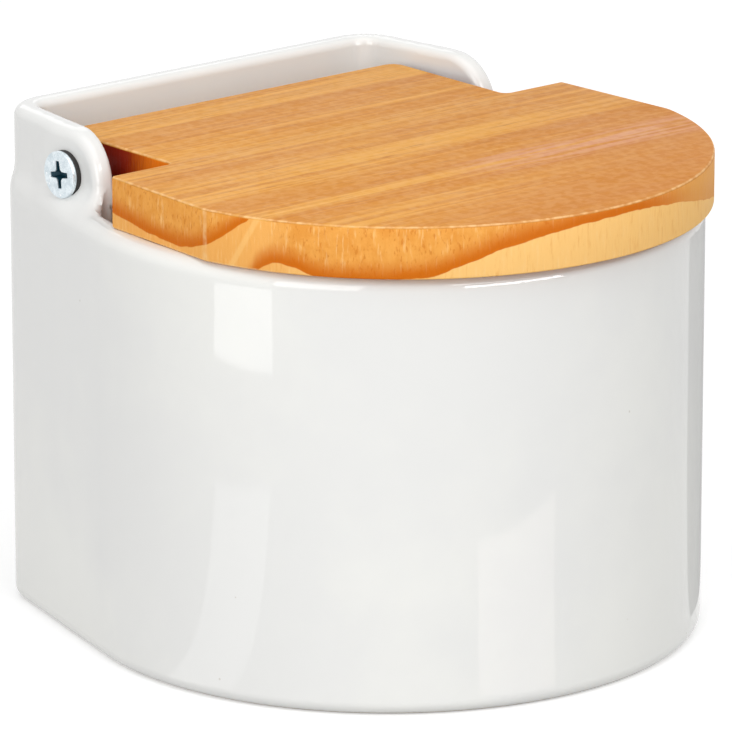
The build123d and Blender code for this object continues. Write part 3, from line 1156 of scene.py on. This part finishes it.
@dataclass
class HingeScrews:
    """Two countersunk cross-head wood screws, each through an ear into the tongue's end."""

    head: float = 4.5
    shank: float = 2.25
    root: float = 1.55
    face: float = 2.0
    under: float = 1.1
    edge: float = 0.22
    cone_end: float = -1.15
    thread_start: float = -9.92
    taper_start: float = -24.0
    point: float = -28.0
    pitch: float = 1.8
    crest: float = 0.2
    thread_steps: int = 36
    cross_span: float = 5.4
    cross_width: float = 1.25
    cross_depth: float = 1.7
    cross_turn: float = math.radians(8.0)
    cross_taper: float = 0.6
    mouth_rise: float = 0.5
    cross_root: float = 0.4
    cross_tip: float = 0.8
    wood_gap: float = 0.02

    def thread(self, side: Side, extra: float = 0.0) -> Object:
        """Return the threaded part, pointed at one end.

        Args:
            side: the ear that it goes through.
            extra: how much bigger it is all round.

        Returns:
            The closed shape.
        """
        centre, axis = HINGE.centre(side), HINGE.axis(side)
        across = axis.orthogonal().normalized()
        turns = int((self.thread_start - self.point) / self.pitch) + 3
        first = self.thread_start + self.pitch
        middle, crest = self.pitch * 0.5, self.shank - 0.01
        tooth = (
            (self.root, 0.0),
            (self.root, self.pitch * 0.22),
            (crest, middle - self.crest / 2),
            (crest, middle + self.crest / 2),
            (self.root, self.pitch * 0.78),
        )
        starts = [first - turn * self.pitch for turn in range(turns)]
        profile = [(radius, start - drop) for start in starts for radius, drop in tooth]
        bm = bmesh.new()
        verts = [bm.verts.new(centre + across * r + axis * h) for r, h in profile]
        edges = [bm.edges.new(pair) for pair in zip(verts, verts[1:])]
        bmesh.ops.spin(
            bm,
            geom=verts + edges,
            cent=centre,
            axis=axis,
            dvec=axis * (-self.pitch / self.thread_steps),
            angle=math.tau,
            steps=self.thread_steps,
        )
        bmesh.ops.remove_doubles(bm, verts=bm.verts, dist=1e-3)
        head_end = self.thread_start + 0.6 * self.pitch
        for vert in bm.verts:
            along = (vert.co - centre).dot(axis)
            away = vert.co - centre - axis * along
            fade = smoothstep((self.thread_start + 0.3 - along) / self.pitch)
            radius = self.root + (away.length - self.root) * fade + extra
            radius *= min(1.0, max(0.0, (along - self.point) / (self.taper_start - self.point)))
            if along > head_end:
                radius = 0.0
            along = min(head_end, max(self.point - extra, along))
            vert.co = centre + axis * along + away.normalized() * radius
        bmesh.ops.remove_doubles(bm, verts=bm.verts, dist=1e-3)
        return finish_mesh(bm, f"thread_{side.word}", 50.0)

    def solid_head(self, side: Side) -> Object:
        """Return the head, its cone and the smooth shank as one turned shape."""
        soft = self.edge * (1.0 - math.cos(math.radians(45.0)))
        profile = [
            (0.0, self.face),
            (self.head - 0.9, self.face),
            (self.head - self.edge, self.face),
            (self.head - soft, self.face - soft),
            (self.head, self.face - self.edge),
            (self.head, self.under + 0.12),
            (self.head - 0.1, self.under),
            (self.shank, self.cone_end),
            (self.shank, self.thread_start - 0.3),
            (self.root, self.thread_start - 1.0),
            (0.0, self.thread_start - 1.0),
        ]
        bm = lathe(profile, HINGE.centre(side), HINGE.axis(side), 72)
        return finish_mesh(bm, f"head_{side.word}", 25.0)

    def cross_cutter(self, side: Side) -> Object:
        """Return the tapered cross that the driver fits, as a cutter."""
        long, short, root = self.cross_span / 2, self.cross_width / 2, self.cross_root
        tip = short * self.cross_tip
        arm = [(long, -tip), (long, tip), (short + root, short), (short, short + root)]
        turns = [Matrix.Rotation(number * QUARTER_TURN, 2) for number in range(4)]
        bm = bmesh.new()
        mouth = [bm.verts.new((*(turn @ Vector(point)), self.mouth_rise)) for turn in turns for point in arm]
        cap = floor = bm.faces.new(mouth)
        for drop, share in ((self.mouth_rise, 1.0), (self.cross_depth, self.cross_taper)):
            above = floor
            sunk = bmesh.ops.extrude_face_region(bm, geom=[above])["geom"]
            floor = next(item for item in sunk if isinstance(item, bmesh.types.BMFace))
            bmesh.ops.scale(bm, vec=(share, share, 1.0), verts=floor.verts)
            bmesh.ops.translate(bm, vec=(0.0, 0.0, -drop), verts=floor.verts)
            if above is not cap:
                bmesh.ops.delete(bm, geom=[above], context="FACES_ONLY")
        bmesh.ops.recalc_face_normals(bm, faces=bm.faces)
        bmesh.ops.triangulate(bm, faces=bm.faces)
        axis, across = HINGE.axis(side), Vector((0.0, 1.0, 0.0))
        upright = Matrix((across, axis.cross(across), axis)).transposed().to_4x4()
        move = Matrix.Translation(HINGE.centre(side, self.face))
        turned = move @ upright @ Matrix.Rotation(self.cross_turn, 4, "Z")
        bmesh.ops.transform(bm, matrix=turned, verts=bm.verts)
        return finish_mesh(bm, f"cross_{side.word}")

    def build(self, side: Side) -> Object:
        """Make one screw."""
        obj = self.solid_head(side)
        boolean(obj, [self.thread(side)], Combine.JOIN, 30.0)
        boolean(obj, [self.cross_cutter(side)], Combine.CUT, 30.0)
        obj.name = f"cross_head_screw_{side.word}"
        return obj

    def make(self, side: Side, metal: bpy.types.Material) -> Piece:
        """Build and dress one screw."""
        obj = self.build(side)
        obj.data.materials.append(metal)
        return Piece(obj, f"hinge_screw_{side.word}", Body.LID, Slot.ZINC)


@dataclass
class RubberWashers:
    """Soft rings pressed between each screw head and its ear."""

    outer: float = 4.5
    base: float = 0.05
    top: float = 1.08
    inner_base: float = 3.48
    inner_top: float = 4.42
    soft: float = 0.16

    def build(self, side: Side) -> Object:
        """Mould one ring, with its outer edges rounded."""
        profile = [
            (self.inner_base, self.base),
            (self.outer - self.soft, self.base),
            (self.outer - self.soft * 0.3, self.base + self.soft * 0.3),
            (self.outer, self.base + self.soft),
            (self.outer, self.top - self.soft),
            (self.outer - self.soft * 0.2, self.top - self.soft * 0.35),
            (self.inner_top, self.top - 0.02),
            (self.inner_base, self.base),
        ]
        bm = lathe(profile, HINGE.centre(side), HINGE.axis(side), 72)
        return finish_mesh(bm, f"rubber_ring_{side.word}", 50.0)

    def make(self, side: Side, rubber: bpy.types.Material) -> Piece:
        """Build and dress one ring."""
        obj = self.build(side)
        obj.data.materials.append(rubber)
        return Piece(obj, f"washer_{side.word}", Body.LID, Slot.RUBBER)


# ---------------------------------------------------------------------------------------------
# Stage


@dataclass(frozen=True)
class SoftLamp:
    """A rectangular soft lamp that looks at a point on the object, in metres."""

    name: str
    place: Triple
    aim: Triple
    size: Point
    power: float

    def hang(self) -> None:
        """Put the lamp in the scene."""
        data = bpy.data.lights.new(self.name, "AREA")
        data.shape = "RECTANGLE"
        data.size, data.size_y = self.size
        data.energy = self.power
        lamp = bpy.data.objects.new(self.name, data)
        lamp.location = self.place
        lamp.rotation_euler = (Vector(self.aim) - Vector(self.place)).to_track_quat("-Z", "Y").to_euler()
        lamp.visible_camera = False
        bpy.context.scene.collection.objects.link(lamp)


@dataclass(frozen=True)
class GlossCard:
    """A card of even glow that only reflections show, brighter or dimmer than the floor; in millimetres."""

    name: str
    corners: tuple[Triple, ...]
    glow: float
    colour: Colour = WHITE

    def stand(self) -> None:
        """Put the card on the stage."""
        bm = bmesh.new()
        bm.faces.new([bm.verts.new(corner) for corner in self.corners])
        obj = finish_mesh(bm, self.name)
        obj.visible_camera = obj.visible_diffuse = obj.visible_shadow = False
        sheet = FinishSheet(f"{self.name}_card")
        black = (0.0, 0.0, 0.0)
        obj.data.materials.append(
            sheet.set(Base_Color=black, Emission_Color=self.colour, Emission_Strength=self.glow)
        )


@dataclass
class Studio:
    """Plain white floor and surroundings, soft lamps, cards for reflections, and the camera."""

    azimuth: float = -0.703
    elevation: float = 0.285
    distance: float = 1.338
    lens: float = 345.57
    aim: Triple = (0.0, 0.0015, 0.0504)
    slide: Point = (-0.003167, -0.000929)
    sensor: float = 36.0
    surround: float = 0.54
    floor_glow: float = 0.44
    floor_seen: Colour = (0.7, 0.7, 0.7)
    floor_bounce: Colour = (0.5, 0.5, 0.5)
    lamps: tuple[SoftLamp, ...] = (
        SoftLamp("overhead", (-0.2, -0.3, 1.3), (0.0, 0.0, 0.05), (1.3, 1.3), 5.0),
        SoftLamp("front_left", (-1.3, -0.6, 0.5), (0.0, 0.0, 0.05), (0.8, 0.9), 8.4),
        SoftLamp("front", (0.05, -1.2, 0.9), (0.0, 0.0, 0.05), (0.9, 0.35), 5.2),
        SoftLamp("behind", (0.7, 1.3, 0.9), (0.0, 0.0, 0.05), (0.8, 0.8), 1.5),
    )
    cards: tuple[GlossCard, ...] = (
        GlossCard(
            "window",
            ((-200.0, -49.0, 40.5), (-200.0, 22.0, 41.5), (-200.0, 22.0, 24.0), (-200.0, -49.0, 20.5)),
            3.2,
        ),
        GlossCard(
            "brow",
            (
                (-110.0, -400.0, 112.0),
                (140.0, -385.0, 112.0),
                (140.0, -385.0, 190.0),
                (-110.0, -400.0, 190.0),
            ),
            12.0,
        ),
        GlossCard(
            "flag",
            ((46.0, -46.0, 0.6), (330.0, 4.0, 0.6), (285.0, 210.0, 0.6), (225.0, 190.0, 0.6)),
            0.42,
        ),
        GlossCard(
            "table_left",
            ((-62.0, -20.0, 0.6), (-190.0, -45.0, 0.6), (-190.0, 18.0, 0.6), (-62.0, -4.0, 0.6)),
            1.9,
        ),
        GlossCard(
            "table_front",
            ((-25.2, -62.5, 0.6), (-6.7, -66.0, 0.6), (40.0, -180.0, 0.6), (-38.0, -155.0, 0.6)),
            1.9,
            (1.0, 0.93, 0.9),
        ),
    )

    def camera(self) -> None:
        """Set up the camera."""
        sine, cosine = math.sin(self.azimuth), math.cos(self.azimuth)
        level = math.cos(self.elevation)
        back = Vector((sine * level, -cosine * level, math.sin(self.elevation)))
        right = Vector((cosine, sine, 0.0))
        up = back.cross(right)
        data = bpy.data.cameras.new("camera")
        data.lens = self.lens
        data.sensor_width = self.sensor
        data.clip_start, data.clip_end = 0.05, 20.0
        camera = bpy.data.objects.new("camera", data)
        camera.rotation_mode = "QUATERNION"
        camera.rotation_quaternion = Matrix((right, up, back)).transposed().to_quaternion()
        camera.location = Vector(self.aim) + right * self.slide[0] + up * self.slide[1]
        camera.location += back * self.distance
        bpy.context.scene.collection.objects.link(camera)
        bpy.context.scene.camera = camera

    def seen(self, sheet: NodeSheet) -> Socket:
        """Return 1 for rays that show the stage: the camera's, and those in gloss and glass."""
        rays = sheet.node("ShaderNodeLightPath").outputs
        mirrored = sheet.most(rays["Is Glossy Ray"], rays["Is Transmission Ray"])
        return sheet.most(rays["Is Camera Ray"], mirrored)

    def floor(self) -> None:
        """Lay the floor: pale and matt, near white where the camera or a reflection sees it lit."""
        bm = bmesh.new()
        bmesh.ops.create_grid(bm, x_segments=1, y_segments=1, size=3000.0)
        obj = finish_mesh(bm, "floor")
        sheet = FinishSheet("pale_floor")
        seen = self.seen(sheet)
        obj.data.materials.append(
            sheet.set(
                Base_Color=sheet.mix(seen, self.floor_bounce, self.floor_seen),
                Roughness=0.9,
                Specular_IOR_Level=0.0,
                Emission_Color=WHITE,
                Emission_Strength=sheet.times(seen, self.floor_glow),
            )
        )

    def world(self) -> None:
        """Surround the stage with plain white, at full strength where it is seen."""
        world = bpy.data.worlds.new("surround")
        world.use_nodes = True
        bpy.context.scene.world = world
        sheet = NodeSheet(world.node_tree)
        background = sheet.tree.nodes["Background"]
        sheet.plug(WHITE, background.inputs["Color"])
        strength = sheet.ramp(self.seen(sheet), 0.0, 1.0, self.surround, 1.0)
        sheet.plug(strength, background.inputs["Strength"])

    def set_up(self) -> None:
        """Build the whole stage."""
        bpy.context.scene.view_settings.view_transform = "Standard"
        self.camera()
        self.floor()
        self.world()
        for lamp in self.lamps:
            lamp.hang()
        for card in self.cards:
            card.stand()


def main() -> None:
    """Build every piece, dress it, hand it to the frame and set up the stage."""
    Studio().set_up()
    effects = SharedEffects()
    metal, rubber = ZincPlate().make(effects), BlackRubber().make(effects)
    screws, washers = HingeScrews(), RubberWashers()
    pieces = [GlazedBox().make(effects), PineLid().make(effects, screws)]
    for side in Side:
        pieces.append(screws.make(side, metal))
        pieces.append(washers.make(side, rubber))
    for piece in pieces:
        piece.settle()


if __name__ == "__main__":
    main()
